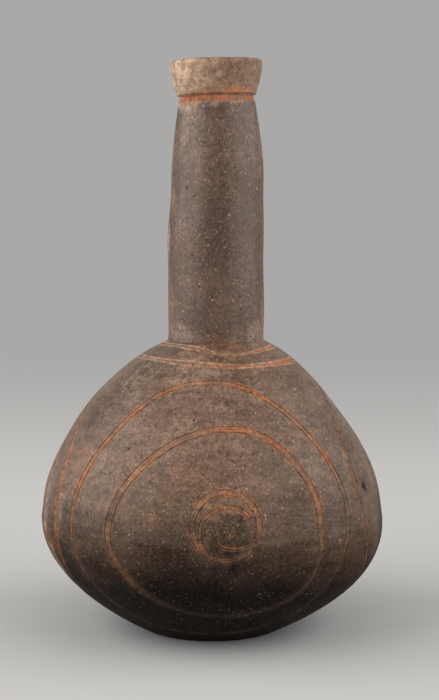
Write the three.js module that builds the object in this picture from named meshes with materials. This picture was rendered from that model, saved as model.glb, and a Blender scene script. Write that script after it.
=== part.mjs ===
// Coil-built pottery bottle: low round body, tall neck, flared rim collar.
// Units are mm, +Z is up, the origin is the middle of the flat foot, and the panel with
// the circles faces -Y. Every clay piece is a ring that laps the one below it along a
// sloping seam, so that neighbours share one conical face.
import * as THREE from "three";

// Outside sizes
const bottleHeight = 240.4;
const bodyDiameter = 146;
const widestHeight = 48;
const footDiameter = 61;
const shoulderHeight = 122.8; // where the neck rises from the shoulder
const neckFootDiameter = 40.8;
const neckTopDiameter = 32.2; // just under the groove
const collarHeight = 14.4;
const collarFootDiameter = 33.2;
const lipDiameter = 38.8;

// Walls and seams
const bodyWall = 5.5;
const floorThickness = 8;
const neckWall = 5.2;
const collarWall = 4;
const lipRounding = 1.1;
const bodyRings = 8; // the uppermost closes the shoulder
const neckRings = 5;
const seamLap = 3.6; // how far a seam slopes down from outside to inside
const firstSeamFromFoot = 13; // along the outer face
const throatLedge = 8.2; // of the shoulder's underside, left for the neck to sit on
const throatRise = 1.2;

// Groove under the collar, and the red pigment in it and on the shoulder
const grooveHeight = 3;
const grooveDepth = 0.8;
const grooveBevel = 0.3;
const ledgeDrop = 0.1; // of the collar's overhanging edge
const pigmentHeight = 2;
const pigmentThickness = 0.45;
const bandWidth = 1.7;
const bandDepth = 0.4;
const lowerBandFromNeck = 16.3; // along the shoulder, to the middle of the band
const upperBandFromNeck = 5.8;

// Hand-built irregularity
const rimTilt = THREE.MathUtils.degToRad(1.4);
const tiltedHeight = 41; // from the lip down to where the tilt has died out
const outOfRound = 0.004; // share of the radius

// Facets
const around = 54;
const outerStep = 6.2; // along the outer faces
const innerStep = 9.5;
const footStep = 4.4;
const neckStep = 7;

// Shape of the body over its widest line: share of the height up to the neck, and share
// of the way in from the widest radius to the neck's foot.
const shoulderShape = [
  [0, 0],
  [0.17, 0.034],
  [0.29, 0.087],
  [0.4, 0.162],
  [0.52, 0.265],
  [0.63, 0.376],
  [0.72, 0.482],
  [0.81, 0.605],
  [0.89, 0.735],
  [0.95, 0.862],
  [1, 1],
];
const lowerBodyPower = 2.2; // fullness between the foot and the widest line

// Shape of the neck: share of its height, and share of the way from the foot's radius
// to the top's radius. The swelling near three quarters is a lapped coil.
const neckShape = [
  [0, 0],
  [0.04, 0.13],
  [0.14, -0.04],
  [0.24, 0.06],
  [0.36, 0.12],
  [0.48, 0.21],
  [0.58, 0.325],
  [0.66, 0.335],
  [0.74, 0.305],
  [0.86, 0.56],
  [1, 1],
];

// Centre line of the hand-built pot: share of the whole height, and mm towards +X
const centreLine = [
  [0, 0],
  [0.06, 1],
  [0.11, 0.9],
  [0.2, 0],
  [0.33, -0.1],
  [0.41, -0.5],
  [0.52, 1.7],
  [0.6, 1.3],
  [0.68, 0.8],
  [0.76, 1.6],
  [0.84, 2.55],
  [0.95, 1.85],
  [1, 1.7],
];

const footRadius = footDiameter / 2;
const bodyRadius = bodyDiameter / 2;
const neckFootRadius = neckFootDiameter / 2;
const neckTopRadius = neckTopDiameter / 2;
const lipRadius = lipDiameter / 2;
const collarFoot = bottleHeight - collarHeight;
const grooveFoot = collarFoot - grooveHeight;

const lerp = THREE.MathUtils.lerp;
const smoothstep = THREE.MathUtils.smoothstep;
const point = (r, z) => new THREE.Vector2(r, z);

/** Value at x of a smooth curve through the rows [x, y] of a table. */
function through(table, x) {
  const last = table.length - 1;
  let i = 0;
  while (i < last - 1 && x > table[i + 1][0]) i += 1;
  const slope = (a, b) => (table[b][1] - table[a][1]) / (table[b][0] - table[a][0]);
  const [x0, y0] = table[i];
  const [x1, y1] = table[i + 1];
  const width = x1 - x0;
  const t = (x - x0) / width;
  const m0 = slope(Math.max(i - 1, 0), i + 1) * width;
  const m1 = slope(i, Math.min(i + 2, last)) * width;
  const u = 1 - t;
  return y0 * (1 + 2 * t) * u * u + m0 * t * u * u + y1 * t * t * (3 - 2 * t) - m1 * t * t * u;
}

/** Outer radius of the body at height z. */
function bodyRadiusAt(z) {
  if (z < widestHeight) {
    const share = 1 - (1 - z / widestHeight) ** lowerBodyPower;
    return lerp(footRadius, bodyRadius, share);
  }
  const height = (z - widestHeight) / (shoulderHeight - widestHeight);
  return lerp(bodyRadius, neckFootRadius, through(shoulderShape, height));
}

/** Outer radius of the neck at height z, up to the foot of the groove. */
function neckRadiusAt(z) {
  const height = (z - shoulderHeight) / (grooveFoot - shoulderHeight);
  return lerp(neckFootRadius, neckTopRadius, through(neckShape, height));
}

/** A curve that can be asked for the point, or the inward normal, at a length along it. */
function measured(points) {
  const lengths = [0];
  points.slice(1).forEach((p, i) => lengths.push(lengths[i] + p.distanceTo(points[i])));
  const total = lengths[lengths.length - 1];
  const at = (s) => {
    let i = 0;
    while (i < points.length - 2 && s > lengths[i + 1]) i += 1;
    const share = (s - lengths[i]) / (lengths[i + 1] - lengths[i]);
    return points[i].clone().lerp(points[i + 1], share);
  };
  const inward = (s) => {
    const span = total / 60;
    const along = at(Math.min(s + span, total)).sub(at(Math.max(s - span, 0))).normalize();
    return point(-along.y, along.x);
  };
  return { total, at, inward };
}

const curveSteps = 240;
const bodyCurve = measured(
  Array.from({ length: curveSteps + 1 }, (_, i) => {
    const z = (shoulderHeight * i) / curveSteps;
    return point(bodyRadiusAt(z), z);
  }),
);

/** Point at a depth under length s of the body's outer curve. */
const under = (s, depth) => bodyCurve.at(s).addScaledVector(bodyCurve.inward(s), depth);
const insideBody = (s) => under(s, bodyWall);

/** Points of a face from a to b, both ends included. */
function face(pointAt, a, b, step = outerStep) {
  const count = Math.max(1, Math.round(Math.abs(b - a) / step));
  return Array.from({ length: count + 1 }, (_, i) => pointAt(lerp(a, b, i / count)));
}

// Where the body's seams lie, as lengths along its outer curve
const ringLength = (bodyCurve.total - firstSeamFromFoot) / bodyRings;
const seamAt = (i) => firstSeamFromFoot + i * ringLength;
const innerSeamAt = (i) => seamAt(i) - seamLap;

// Pigment bands: two lengths along the shoulder, and the channel cut for each band
const bandAt = (fromNeck) => {
  const middle = bodyCurve.total - fromNeck;
  return [middle - bandWidth / 2, middle + bandWidth / 2];
};
const lowerBand = bandAt(lowerBandFromNeck);
const upperBand = bandAt(upperBandFromNeck);
const channelFloor = (band) => band.map((s) => under(s, bandDepth));

/** Outer face of the shoulder from length a to b, with a channel for each band. */
function channelled(a, b, bands) {
  const outline = [];
  let from = a;
  bands.forEach((band) => {
    outline.push(...face(bodyCurve.at, from, band[0]), ...channelFloor(band));
    from = band[1];
  });
  outline.push(...face(bodyCurve.at, from, b).slice(0, -1));
  return outline;
}

/** Moves a point of the true round shape to where the hand-built pot has it. */
function shaped(radius, z, angle) {
  const tilt = Math.tan(rimTilt) * smoothstep(z, bottleHeight - tiltedHeight, grooveFoot);
  const round = 1 + outOfRound * Math.cos(2 * angle + z / 40) * Math.min(1, z / widestHeight);
  const x = radius * round * Math.cos(angle);
  const y = radius * round * Math.sin(angle);
  return [x + through(centreLine, z / bottleHeight), y, z + tilt * x];
}

/** Closed ring or disc turned from a profile that runs anticlockwise, r right and z up. */
function turned(profile) {
  const positions = [];
  const rows = profile.map((p) => {
    const first = positions.length / 3;
    const onAxis = p.x < 1e-9;
    const count = onAxis ? 1 : around;
    for (let i = 0; i < count; i += 1) {
      positions.push(...shaped(p.x, p.y, (2 * Math.PI * i) / around));
    }
    return (i) => first + (onAxis ? 0 : i % around);
  });
  const index = [];
  profile.forEach((p, j) => {
    const k = (j + 1) % profile.length;
    const q = profile[k];
    const [a, b] = [rows[j], rows[k]];
    // Both rings that meet at a seam split its facets along the same diagonal.
    const fromHere = p.x - q.x > 1e-9 || (Math.abs(p.x - q.x) <= 1e-9 && p.y > q.y);
    for (let i = 0; i < around; i += 1) {
      const faces = fromHere
        ? [[a(i), a(i + 1), b(i + 1)], [a(i), b(i + 1), b(i)]]
        : [[a(i), a(i + 1), b(i)], [a(i + 1), b(i + 1), b(i)]];
      faces.forEach((corners) => {
        if (new Set(corners).size === 3) index.push(...corners);
      });
    }
  });
  const geometry = new THREE.BufferGeometry();
  geometry.setAttribute("position", new THREE.Float32BufferAttribute(positions, 3));
  geometry.setIndex(index);
  geometry.computeVertexNormals();
  return geometry;
}

const finishes = {
  darkClay: { color: 0x40362e, roughness: 0.55 },
  greyClay: { color: 0x75685e, roughness: 0.5 },
  buffClay: { color: 0x94806c, roughness: 0.6 },
  redPigment: { color: 0xa5542e, roughness: 0.9 },
};

const group = new THREE.Group();
group.name = "pottery_bottle";

/** Adds one named piece with a material of its own. */
function add(name, profile, finish) {
  const material = new THREE.MeshStandardMaterial({ ...finishes[finish], metalness: 0 });
  material.name = `${name}_finish`;
  const mesh = new THREE.Mesh(turned(profile), material);
  mesh.name = name;
  group.add(mesh);
}

// Foot: a patted disc with a turned-up edge
add(
  "base_disc",
  [
    point(0, 0),
    ...face(bodyCurve.at, 0, seamAt(0), footStep),
    insideBody(innerSeamAt(0)),
    point(footRadius * 0.6, floorThickness),
    point(0, floorThickness),
  ],
  "darkClay",
);

// Body rings, each from its lower seam to its upper one
const darkRings = 3;
for (let i = 0; i < bodyRings - 1; i += 1) {
  add(
    `body_ring_${i + 1}`,
    [
      ...face(bodyCurve.at, seamAt(i), seamAt(i + 1)),
      ...face(insideBody, innerSeamAt(i + 1), innerSeamAt(i), innerStep),
    ],
    i < darkRings ? "darkClay" : "greyClay",
  );
}

// Shoulder ring, which narrows to the neck. The neck sits on a seam that slopes from the
// outer corner down to the bore.
const throatLength = bodyCurve.total - throatLedge;
const boreFoot = point(neckFootRadius - neckWall, insideBody(throatLength).y + throatRise);
add(
  "shoulder_ring",
  [
    ...channelled(seamAt(bodyRings - 1), bodyCurve.total, [lowerBand, upperBand]),
    point(neckFootRadius, shoulderHeight),
    boreFoot,
    ...face(insideBody, throatLength, innerSeamAt(bodyRings - 1)),
  ],
  "greyClay",
);

// Neck rings up to the seam under the collar, the top one with the groove
const grooveRadius = neckTopRadius - grooveDepth;
const pigmentRadius = grooveRadius + pigmentThickness;
const grooveFloor = grooveFoot + grooveBevel;
const groove = [
  point(neckTopRadius, grooveFoot),
  point(pigmentRadius, lerp(grooveFloor, grooveFoot, pigmentThickness / grooveDepth)),
  point(grooveRadius, grooveFloor),
  point(grooveRadius, grooveFloor + pigmentHeight),
  point(grooveRadius, collarFoot),
];
const boreTop = point(grooveRadius - collarWall, collarFoot + seamLap);
const bore = (z) => {
  const height = (z - boreFoot.y) / (boreTop.y - boreFoot.y);
  return point(lerp(boreFoot.x, boreTop.x, height ** 3), z);
};
const outerNeck = (z) => point(neckRadiusAt(z), z);
const neckSeam = (i) => lerp(shoulderHeight, collarFoot, i / neckRings);
const boreSeam = (i) => {
  if (i === 0) return boreFoot.y;
  return i === neckRings ? boreTop.y : neckSeam(i) - seamLap;
};
for (let i = 0; i < neckRings; i += 1) {
  const isTop = i === neckRings - 1;
  const outside = isTop
    ? [...face(outerNeck, neckSeam(i), grooveFoot, neckStep).slice(0, -1), ...groove]
    : face(outerNeck, neckSeam(i), neckSeam(i + 1), neckStep);
  const inside = face(bore, boreSeam(i + 1), boreSeam(i), innerStep);
  add(`neck_ring_${i + 1}`, [...outside, ...inside], "greyClay");
}

// Rim collar: a flared strip whose lower edge overhangs the groove
const mouthRadius = lipRadius - collarWall;
const lipFoot = bottleHeight - lipRounding;
const collarOutside = (share) => {
  const flare = Math.sin((share * Math.PI) / 2) ** 1.15;
  return point(
    lerp(collarFootDiameter / 2, lipRadius, flare),
    lerp(collarFoot - ledgeDrop, lipFoot, share),
  );
};
const collarInside = (share) =>
  point(lerp(boreTop.x, mouthRadius, share ** 1.3), lerp(boreTop.y, lipFoot, share));
add(
  "rim_collar",
  [
    point(grooveRadius, collarFoot),
    ...face(collarOutside, 0, 1, 1 / 4),
    point(lipRadius - lipRounding * 0.4, lerp(lipFoot, bottleHeight, 0.72)),
    point(lipRadius - lipRounding * 1.3, bottleHeight),
    point(mouthRadius + lipRounding * 0.8, lerp(lipFoot, bottleHeight, 0.86)),
    ...face(collarInside, 1, 0, 1 / 3),
  ],
  "buffClay",
);

// Red pigment in the groove and in the two bands round the shoulder
add(
  "groove_pigment",
  [groove[2], groove[1], point(pigmentRadius, groove[3].y - ledgeDrop), groove[3]],
  "redPigment",
);
const bandPigment = (band) => {
  const [lowFloor, highFloor] = channelFloor(band);
  return [lowFloor, bodyCurve.at(band[0]), bodyCurve.at(band[1]), highFloor];
};
add("lower_band_pigment", bandPigment(lowerBand), "redPigment");
add("upper_band_pigment", bandPigment(upperBand), "redPigment");

export default group;
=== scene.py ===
"""Looks of the hand-built pottery bottle: dense clay skins with engraved lines, red
pigment lying in the lines, and a plain studio. Lengths are in mm until a mesh is made."""

import math
from itertools import product

import bpy
import numpy as np
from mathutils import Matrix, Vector


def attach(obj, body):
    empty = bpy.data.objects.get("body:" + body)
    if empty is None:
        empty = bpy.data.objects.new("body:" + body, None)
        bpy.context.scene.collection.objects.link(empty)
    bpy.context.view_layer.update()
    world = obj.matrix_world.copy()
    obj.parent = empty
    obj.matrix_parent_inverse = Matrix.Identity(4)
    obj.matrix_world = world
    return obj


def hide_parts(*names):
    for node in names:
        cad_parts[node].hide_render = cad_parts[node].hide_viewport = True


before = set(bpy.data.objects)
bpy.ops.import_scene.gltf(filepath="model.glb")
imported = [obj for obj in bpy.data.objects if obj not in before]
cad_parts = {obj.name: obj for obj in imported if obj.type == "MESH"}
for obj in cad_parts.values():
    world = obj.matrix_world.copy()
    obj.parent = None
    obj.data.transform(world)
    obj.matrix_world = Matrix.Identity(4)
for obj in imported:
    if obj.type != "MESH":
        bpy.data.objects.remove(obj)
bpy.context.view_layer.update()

MM = 0.001

# Sizes of the solids
BOTTLE_HEIGHT = 240.4
BODY_RADIUS = 73.0
WIDEST_HEIGHT = 48.0
FOOT_RADIUS = 30.5
SHOULDER_HEIGHT = 122.8
NECK_FOOT_RADIUS = 20.4
NECK_TOP_RADIUS = 16.1
COLLAR_HEIGHT = 14.4
COLLAR_FOOT_RADIUS = 16.6
LIP_RADIUS = 19.4
BODY_WALL = 5.5
FLOOR_THICKNESS = 8.0
NECK_WALL = 5.2
COLLAR_WALL = 4.0
LIP_ROUNDING = 1.1
BODY_RINGS = 8
NECK_RINGS = 5
SEAM_LAP = 3.6
FIRST_SEAM = 13.0
THROAT_LEDGE = 8.2
THROAT_RISE = 1.2
GROOVE_HEIGHT = 3.0
GROOVE_DEPTH = 0.8
RIM_TILT = math.radians(1.4)
TILTED_HEIGHT = 41.0
OUT_OF_ROUND = 0.004
OVAL_TURN = 40
LOWER_BODY_POWER = 2.2
COLLAR_FOOT = BOTTLE_HEIGHT - COLLAR_HEIGHT
GROOVE_FOOT = COLLAR_FOOT - GROOVE_HEIGHT
GROOVE_RADIUS = NECK_TOP_RADIUS - GROOVE_DEPTH

# Outlines between two radii, as shares of the height and of the way from the lower radius to
# the upper. The neck's is the photograph's: the solids' is up to 1.5 mm further in on the right.
SHOULDER_SHAPE = [
    (0, 0), (0.17, 0.034), (0.29, 0.087), (0.4, 0.162), (0.52, 0.265), (0.63, 0.376),
    (0.72, 0.482), (0.81, 0.605), (0.89, 0.735), (0.95, 0.862), (1, 1),
]
NECK_SHAPE = [
    (0, 0), (0.04, 0.03), (0.14, -0.02), (0.3, 0), (0.45, -0.01), (0.6, 0.165),
    (0.74, 0.26), (0.87, 0.565), (1, 1),
]
# How far right of the axis the pot's own centre lies, by share of the height
CENTRE_LINE = [
    (0, 0), (0.06, 1), (0.11, 0.9), (0.2, 0), (0.33, -0.1), (0.41, -0.5), (0.52, 1.7),
    (0.6, 1.7), (0.68, 1.47), (0.76, 2.18), (0.84, 2.39), (0.95, 1.85), (1, 1.7),
]

# Engraved pattern. Angles and bearings are in degrees; the angle -90 faces the camera.
LINE_WIDTH = 0.6
LINE_DEPTH = 0.34
PANEL_HEIGHT = 56.9

# Each circle: the bearing from the panel's centre, anticlockwise from the right, with the
# distance of its outer line; the spacing of its two lines; and how much red is left by bearing.
FRONT_CIRCLES = [
    ([(0, 14.3), (60, 14.4), (120, 14.4), (180, 13.9), (240, 14.2), (300, 14.3)], 2.3,
     [(0, 0.4), (20, 0.65), (35, 0.8), (55, 0.68), (80, 0.62), (120, 0.6), (150, 0.5), (175, 0.35),
      (195, 0.45), (212, 0.6), (232, 0.45), (260, 0.42), (300, 0.35), (330, 0.35)]),
    ([(0, 41.2), (19, 40.4), (38, 40.1), (56, 41.1), (75, 41.1), (91, 40.2), (104, 39.7),
      (129, 40.7), (147, 42.8), (160, 45.1), (172, 47.4), (182, 49.2), (190, 49.4), (198, 48.9),
      (205, 48), (212, 46.9), (225, 45.2), (250, 43.4), (281, 42.9), (300, 43.7),
      (330, 43.9)], 2.6,
     [(0, 0.5), (12, 0.75), (25, 0.65), (40, 0.45), (55, 0.75), (68, 0.9), (85, 0.8), (105, 0.5),
      (125, 0.5), (150, 0.55), (160, 0.45), (170, 0.12), (183, 0.55), (190, 0.25), (203, 0.85),
      (213, 0.8), (224, 0.4), (262, 0.2), (290, 0.25), (320, 0.3), (345, 0.4)]),
    ([(0, 55.6), (30, 54.7), (60, 56.7), (90, 61.6), (104, 63.1), (112, 63.6), (117, 63.5),
      (121, 62.8), (127, 62.7), (138, 62.7), (150, 64.3), (162, 66.2), (176, 68.2), (190, 68.6),
      (205, 67), (222, 65.3), (240, 63.8), (270, 60), (300, 57), (330, 54.4)], 2,
     [(0, 0.2), (18, 0.25), (31, 0.9), (40, 0.5), (60, 0.7), (75, 0.85), (90, 0.7), (104, 0.9),
      (109, 1), (115, 0.8), (119, 0), (123, 0.6), (140, 0.7), (152, 0.5), (161, 1),
      (170, 0.5), (180, 0.6), (200, 0.3), (270, 0.3), (340, 0.25)]),
]
SIDE_RED = [(0, 0.65), (40, 0.5), (75, 0.8), (120, 0.5), (160, 0.35), (200, 0.3), (270, 0.35),
            (320, 0.45)]
RIGHT_CIRCLES = [
    ([(0, 14.5), (90, 14.1), (180, 14.3), (270, 14.7)], 1.8, SIDE_RED),
    ([(0, 42), (70, 40.8), (120, 42.4), (180, 44.6), (230, 43.4), (290, 42.6)], 2.5, SIDE_RED),
    ([(0, 59), (40, 57.4), (80, 59.6), (120, 62.4), (142, 66.3), (165, 69.4), (185, 68.8),
      (215, 64.5), (245, 61), (275, 59.4), (320, 59.6)], 1.7,
     [(0, 0.6), (60, 0.7), (100, 0.4), (125, 0.12), (145, 0.2), (160, 0.35), (175, 0.3), (190, 0.5),
      (215, 0.35), (270, 0.35), (320, 0.5)]),
]
LEFT_CIRCLES = [
    ([(0, 14.1), (90, 14.4), (180, 14.6), (270, 14.2)], 1.8, SIDE_RED),
    ([(0, 35.8), (40, 37.4), (90, 40.6), (140, 42.4), (190, 43), (240, 43.6), (290, 43.8),
      (330, 41)], 2.5, SIDE_RED),
    ([(0, 54.7), (30, 51.8), (62, 49.8), (95, 52), (140, 57), (190, 60.4), (240, 60),
      (280, 59.4), (320, 60.8), (346, 58.9)], 2.3,
     [(0, 0.8), (20, 0.7), (45, 0.5), (80, 0.6), (140, 0.5), (200, 0.5), (270, 0.4), (320, 0.6),
      (345, 0.8)]),
]
PANELS_AT = ((-85.6, FRONT_CIRCLES), (24.4, RIGHT_CIRCLES), (164.6, LEFT_CIRCLES))

# The three strokes of each panel's scroll, as points right of and above its centre, with the
# spacing of their lines and the red left from the first point to the last
SCROLL = [
    ([(8.7, 3.2), (7.9, 4.2), (6.6, 5.2), (4.8, 6.1), (3, 6.5), (1, 6.7), (-0.8, 6.5),
      (-2.9, 5.7), (-5, 4.5), (-7, 3.1), (-8.3, 1.4), (-9, -0.6), (-9.2, -3.1),
      (-8.8, -5.8), (-7.7, -8.3), (-6, -10.6), (-4, -12.2)], 1.5,
     (0.85, 0.6, 0.65, 0.55, 0.4, 0.5, 0.45)),
    ([(13.4, -5), (12.2, -6.2), (10.3, -7.3), (7.4, -8.4), (4.8, -8.9), (2.2, -8.9),
      (-0.4, -8.5), (-2.2, -7.6), (-3.2, -6.1), (-3.5, -4.5)], 1.2,
     (0.7, 0.6, 0.6, 0.7, 0.6, 0.5)),
    ([(0.1, -4.2), (1.5, -4.3), (2.9, -4.3)], 0.7, (0.5, 0.8, 0.5)),
]

# The bands round the shoulder: height of each one's upper and lower line by angle, and its red
SHOULDER_BANDS = [
    ([(-180, 116.8), (-156, 117), (-131, 116.8), (-110, 116.6), (-97, 116.2), (-87, 115.8),
      (-77, 115.4), (-64, 115.3), (-47, 115.5), (-33, 115.8), (-11, 115.9), (60, 116.3),
      (120, 116.5)],
     [(-180, 115.6), (-150, 116.2), (-127, 115.8), (-115, 115.2), (-103, 114.9), (-91, 114.6),
      (-78, 114.2), (-65, 114.3), (-49, 114.4), (-27, 114.2), (30, 114.6), (110, 115)],
     [(-180, 0.45), (-135, 0.4), (-105, 0.7), (-85, 1.2), (-70, 1.1), (-45, 1.15), (-22, 1.3),
      (20, 0.7), (110, 0.6)]),
    ([(-180, 122), (-135, 122.1), (-114, 121.8), (-100, 121), (-88, 119.7), (-75, 119.25),
      (-63, 119.4), (-42, 120.4), (-14, 121), (60, 121.3), (120, 121.6)],
     [(-180, 121), (-138, 121.4), (-119, 120.9), (-99, 120), (-88, 119.2), (-75, 118.8),
      (-61, 118.95), (-40, 119.7), (-13, 120.1), (60, 120.5), (120, 120.6)],
     [(-180, 0.45), (-120, 0.45), (-90, 0.65), (-65, 0.85), (-25, 1), (50, 0.55)]),
]

# Stains and pale places: angle, height, half width, half height, strength
STAINS = [
    (-160, 181.5, 4, 5, 0.5), (-163, 136, 5, 12, 0.45), (-18, 132, 4, 9, 0.45),
    (-62, 227.8, 14, 1.6, 0.7), (-12, 227, 4, 3, 0.7), (-88, 120.5, 12, 5, 0.35),
    (-158, 40, 9, 7, 0.9), (-146, 76, 7, 9, 0.4), (-109, 58.8, 4, 3, 0.55),
    (-104, 67, 3.5, 2.5, 0.4), (-98, 76, 9, 4, 0.25), (-37, 35, 8, 8, 0.6), (-21, 39, 6, 8, 0.5),
    (40, 150, 5, 14, 0.5), (95, 90, 10, 8, 0.4), (120, 60, 6, 5, 0.45), (150, 205, 5, 7, 0.5),
    (-10, 88, 5, 6, 0.3),
]
# Pale places: the ones at -169, 163 on the neck's left edge and -130, 237 by the lip are painted
# highlights; the ones at -164, 50, -158, 31 and -150, 58 are a worn edge with a painted highlight;
# the ones at -128, 208, -22, 206, -135, 127 and -45, 127 are painted sheen on the neck; the others
# are worn
PALE_PLACES_AND_HIGHLIGHTS = [
    (-172, 233, 26, 12, 1), (-130, 237, 10, 5, 0.7), (-169, 163, 3, 9, 0.45),
    (-164, 50, 3.5, 15, 0.4), (-158, 31, 5, 10, 0.5), (-150, 58, 4, 10, 0.25),
    (-100, 112, 16, 7, 0.3), (-135, 108, 9, 7, 0.3), (-86, 103, 22, 8, 0.18),
    (70, 234, 15, 7, 0.8), (150, 236, 12, 6, 0.6), (10, 112, 8, 4, 0.25),
    (-128, 208, 8, 13, 0.12), (-22, 206, 6, 16, 0.12), (-135, 127, 8, 5, 0.2),
    (-45, 127, 8, 5, 0.2), (-132, 70, 24, 14, 0.12), (-54, 76, 13, 8, 0.12),
    (-91, 91, 20, 7, 0.14),
]

# Darker patches and smeared red, in the same way. The darker row at height 226.1 all round is
# painted shade under the collar's lower edge
DARKER_PATCHES = [
    (-140, 108, 13, 7, 1), (-152, 96, 7, 12, 0.6), (-35, 108, 9, 6, 0.5), (-18, 98, 6, 12, 0.4),
    (-60, 66, 9, 5, 0.5), (-86, 53, 15, 12, 1.2), (-91, 71, 16, 6, 0.4), (-50, 54, 14, 8, 0.3),
    (-90, 120, 7, 7, 0.35), (-88, 170, 8, 24, 0.3), (0, 226.1, 400, 0.45, 0.8),
    (-104, 62, 12, 10, 0.3), (-112, 70, 14, 9, 0.2), (-118, 52, 14, 6, 0.35),
    (-24, 70, 9, 16, 0.4), (-9, 62, 9, 22, 0.6), (-95, 222, 6, 4, 0.5), (-78, 233, 9, 6, 0.6),
    (-35, 235, 8, 9, 0.6), (30, 180, 8, 22, 0.5), (100, 80, 22, 14, 0.5), (150, 110, 14, 9, 0.5),
    (60, 105, 9, 7, 0.4), (130, 150, 8, 16, 0.4),
]
SMEARS = [
    (0, 225.5, 400, 0.45, 0.9), (0, 222.9, 400, 0.4, 0.45), (-62, 227.3, 15, 1.5, 0.65),
    (-30, 227.3, 7, 1.5, 0.6), (-125, 222.3, 8, 1.1, 0.5), (-62, 222.4, 9, 0.9, 0.45),
    (-108, 226.8, 12, 0.9, 0.45), (75, 227.2, 14, 1.4, 0.5), (170, 227, 12, 1.2, 0.4),
]

# Single marks: angle, height, length, width, depth, and turn from level
MARKS = [
    (-26.9, 65.4, 5.4, 3.9, 0.85, -50), (-27.2, 79.9, 2.6, 2, 0.45, 0),
    (-97.4, 58.4, 0.9, 0.8, 0.35, 0), (-115.9, 81.9, 1, 0.9, 0.4, 20),
    (-121.9, 75.5, 3.2, 0.8, 0.25, 15), (-109.9, 30.3, 4, 0.8, 0.2, 5),
    (-60, 137, 1.4, 1.1, 0.45, 0), (-118, 183.5, 1, 0.9, 0.4, 0), (60, 75, 3, 1.2, 0.4, 30),
    (115, 98, 1.4, 1.1, 0.4, 0), (-150, 100, 1.6, 1, 0.3, 60),
]

# Relief of the worked clay: how high or deep, and how wide its features are
HAND_SWELL = 0.16
HAND_SWELL_SIZE = 26.0
DIMPLE = 0.03
DIMPLE_SIZE = 6.0
BURNISH = 0.014
BURNISH_SIZE = (1.7, 1.7, 9.0)
PIT_DEPTH = 0.28
PIT_SPACING = 5.5
PIT_SHARE = 0.3
PIT_RADII = (0.35, 1.0)
FOOT_FADE = 3.0
# Edges of the coloured patches: how ragged, how fine the grain, and where they fade
PATCH_RAGGED = 0.9
PATCH_GRAIN = 6.0
PATCH_EDGE = (0.35, 1.35)


def smoothstep(x, low, high):
    t = np.clip((x - low) / (high - low), 0, 1)
    return t * t * (3 - 2 * t)


def lerp(a, b, t):
    return a + (b - a) * t


def unit(v):
    return v / np.maximum(np.linalg.norm(v, axis=-1, keepdims=True), 1e-12)


def rightward(line):
    """Unit directions to the right of the run of a flat line of points."""
    along = unit(np.gradient(line, axis=0))
    return np.stack([along[:, 1], -along[:, 0]], -1)


def compass(p):
    """Distance from the axis, and angle in degrees."""
    return np.hypot(p[..., 0], p[..., 1]), np.degrees(np.arctan2(p[..., 1], p[..., 0]))


def through(table, x):
    """Values at x of a smooth curve through the rows (x, y) of a table."""
    xs, ys = np.array(table, float).T
    last = len(xs) - 1
    i = np.clip(np.searchsorted(xs, x, side="left") - 1, 0, last - 1)
    low, high = np.maximum(i - 1, 0), np.minimum(i + 2, last)
    width = xs[i + 1] - xs[i]
    t = (x - xs[i]) / width
    m0 = (ys[i + 1] - ys[low]) / (xs[i + 1] - xs[low]) * width
    m1 = (ys[high] - ys[i]) / (xs[high] - xs[i]) * width
    u = 1 - t
    from_start = ys[i] * (1 + 2 * t) * u * u + m0 * t * u * u
    return from_start + ys[i + 1] * t * t * (3 - 2 * t) - m1 * t * t * u


def through_round(table, degrees):
    """The same for a table of angles that closes on itself."""
    rows = sorted((a % 360, v) for a, v in table)
    wrapped = [(a - 360, v) for a, v in rows[-2:]] + rows + [(a + 360, v) for a, v in rows[:3]]
    return through(wrapped, degrees % 360)


# Noise


def lattice(ix, iy, iz, seed):
    """A random value from 0 to 1 for each whole-number point."""
    n = (ix * 374761393 + iy * 668265263 + iz * 2147483647 + seed * 1274126177) & 0xFFFFFFFF
    n = ((n ^ (n >> 13)) * 1103515245) & 0xFFFFFFFF
    n = ((n ^ (n >> 16)) * 2654435761) & 0xFFFFFFFF
    return ((n ^ (n >> 15)) & 0xFFFFFF) / float(0xFFFFFF)


def noise(p, size, seed):
    """Smooth noise from -1 to 1 with features of the given size (a number, or one per axis)."""
    q = p / size + 1000.0
    cell = np.floor(q).astype(np.int64)
    f = q - cell
    f = f * f * (3 - 2 * f)
    total = 0
    for step in product((0, 1), repeat=3):
        wx, wy, wz = (f[..., k] if step[k] else 1 - f[..., k] for k in range(3))
        corner = lattice(*(cell[..., k] + step[k] for k in range(3)), seed)
        total = total + wx * wy * wz * corner
    return 2 * total - 1


def layered(p, size, seed, layers=3):
    total, weight = 0, 0
    for k in range(layers):
        total = total + noise(p, size / 2**k, seed + k) * 0.5**k
        weight += 0.5**k
    return total / weight


def spots(p, spacing, share, low, high, seed):
    """Depth from 0 to 1 of round spots of radius low to high, in a share of the cells."""
    q = p / spacing + 1000.0
    cell = np.floor(q).astype(np.int64)
    best = np.zeros(p.shape[:-1])
    for step in product((-1, 0, 1), repeat=3):
        at = [cell[..., k] + step[k] for k in range(3)]
        there = lattice(*at, seed) < share
        centre = np.stack([at[k] + lattice(*at, seed + 1 + k) for k in range(3)], -1)
        radius = lerp(low, high, lattice(*at, seed + 4) ** 2)
        away = np.linalg.norm(q - centre, axis=-1) * spacing
        depth = np.where(there, 1 - smoothstep(away / radius, 0.3, 1.0), 0)
        best = np.maximum(best, depth)
    return best


# The true round shape


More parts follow.
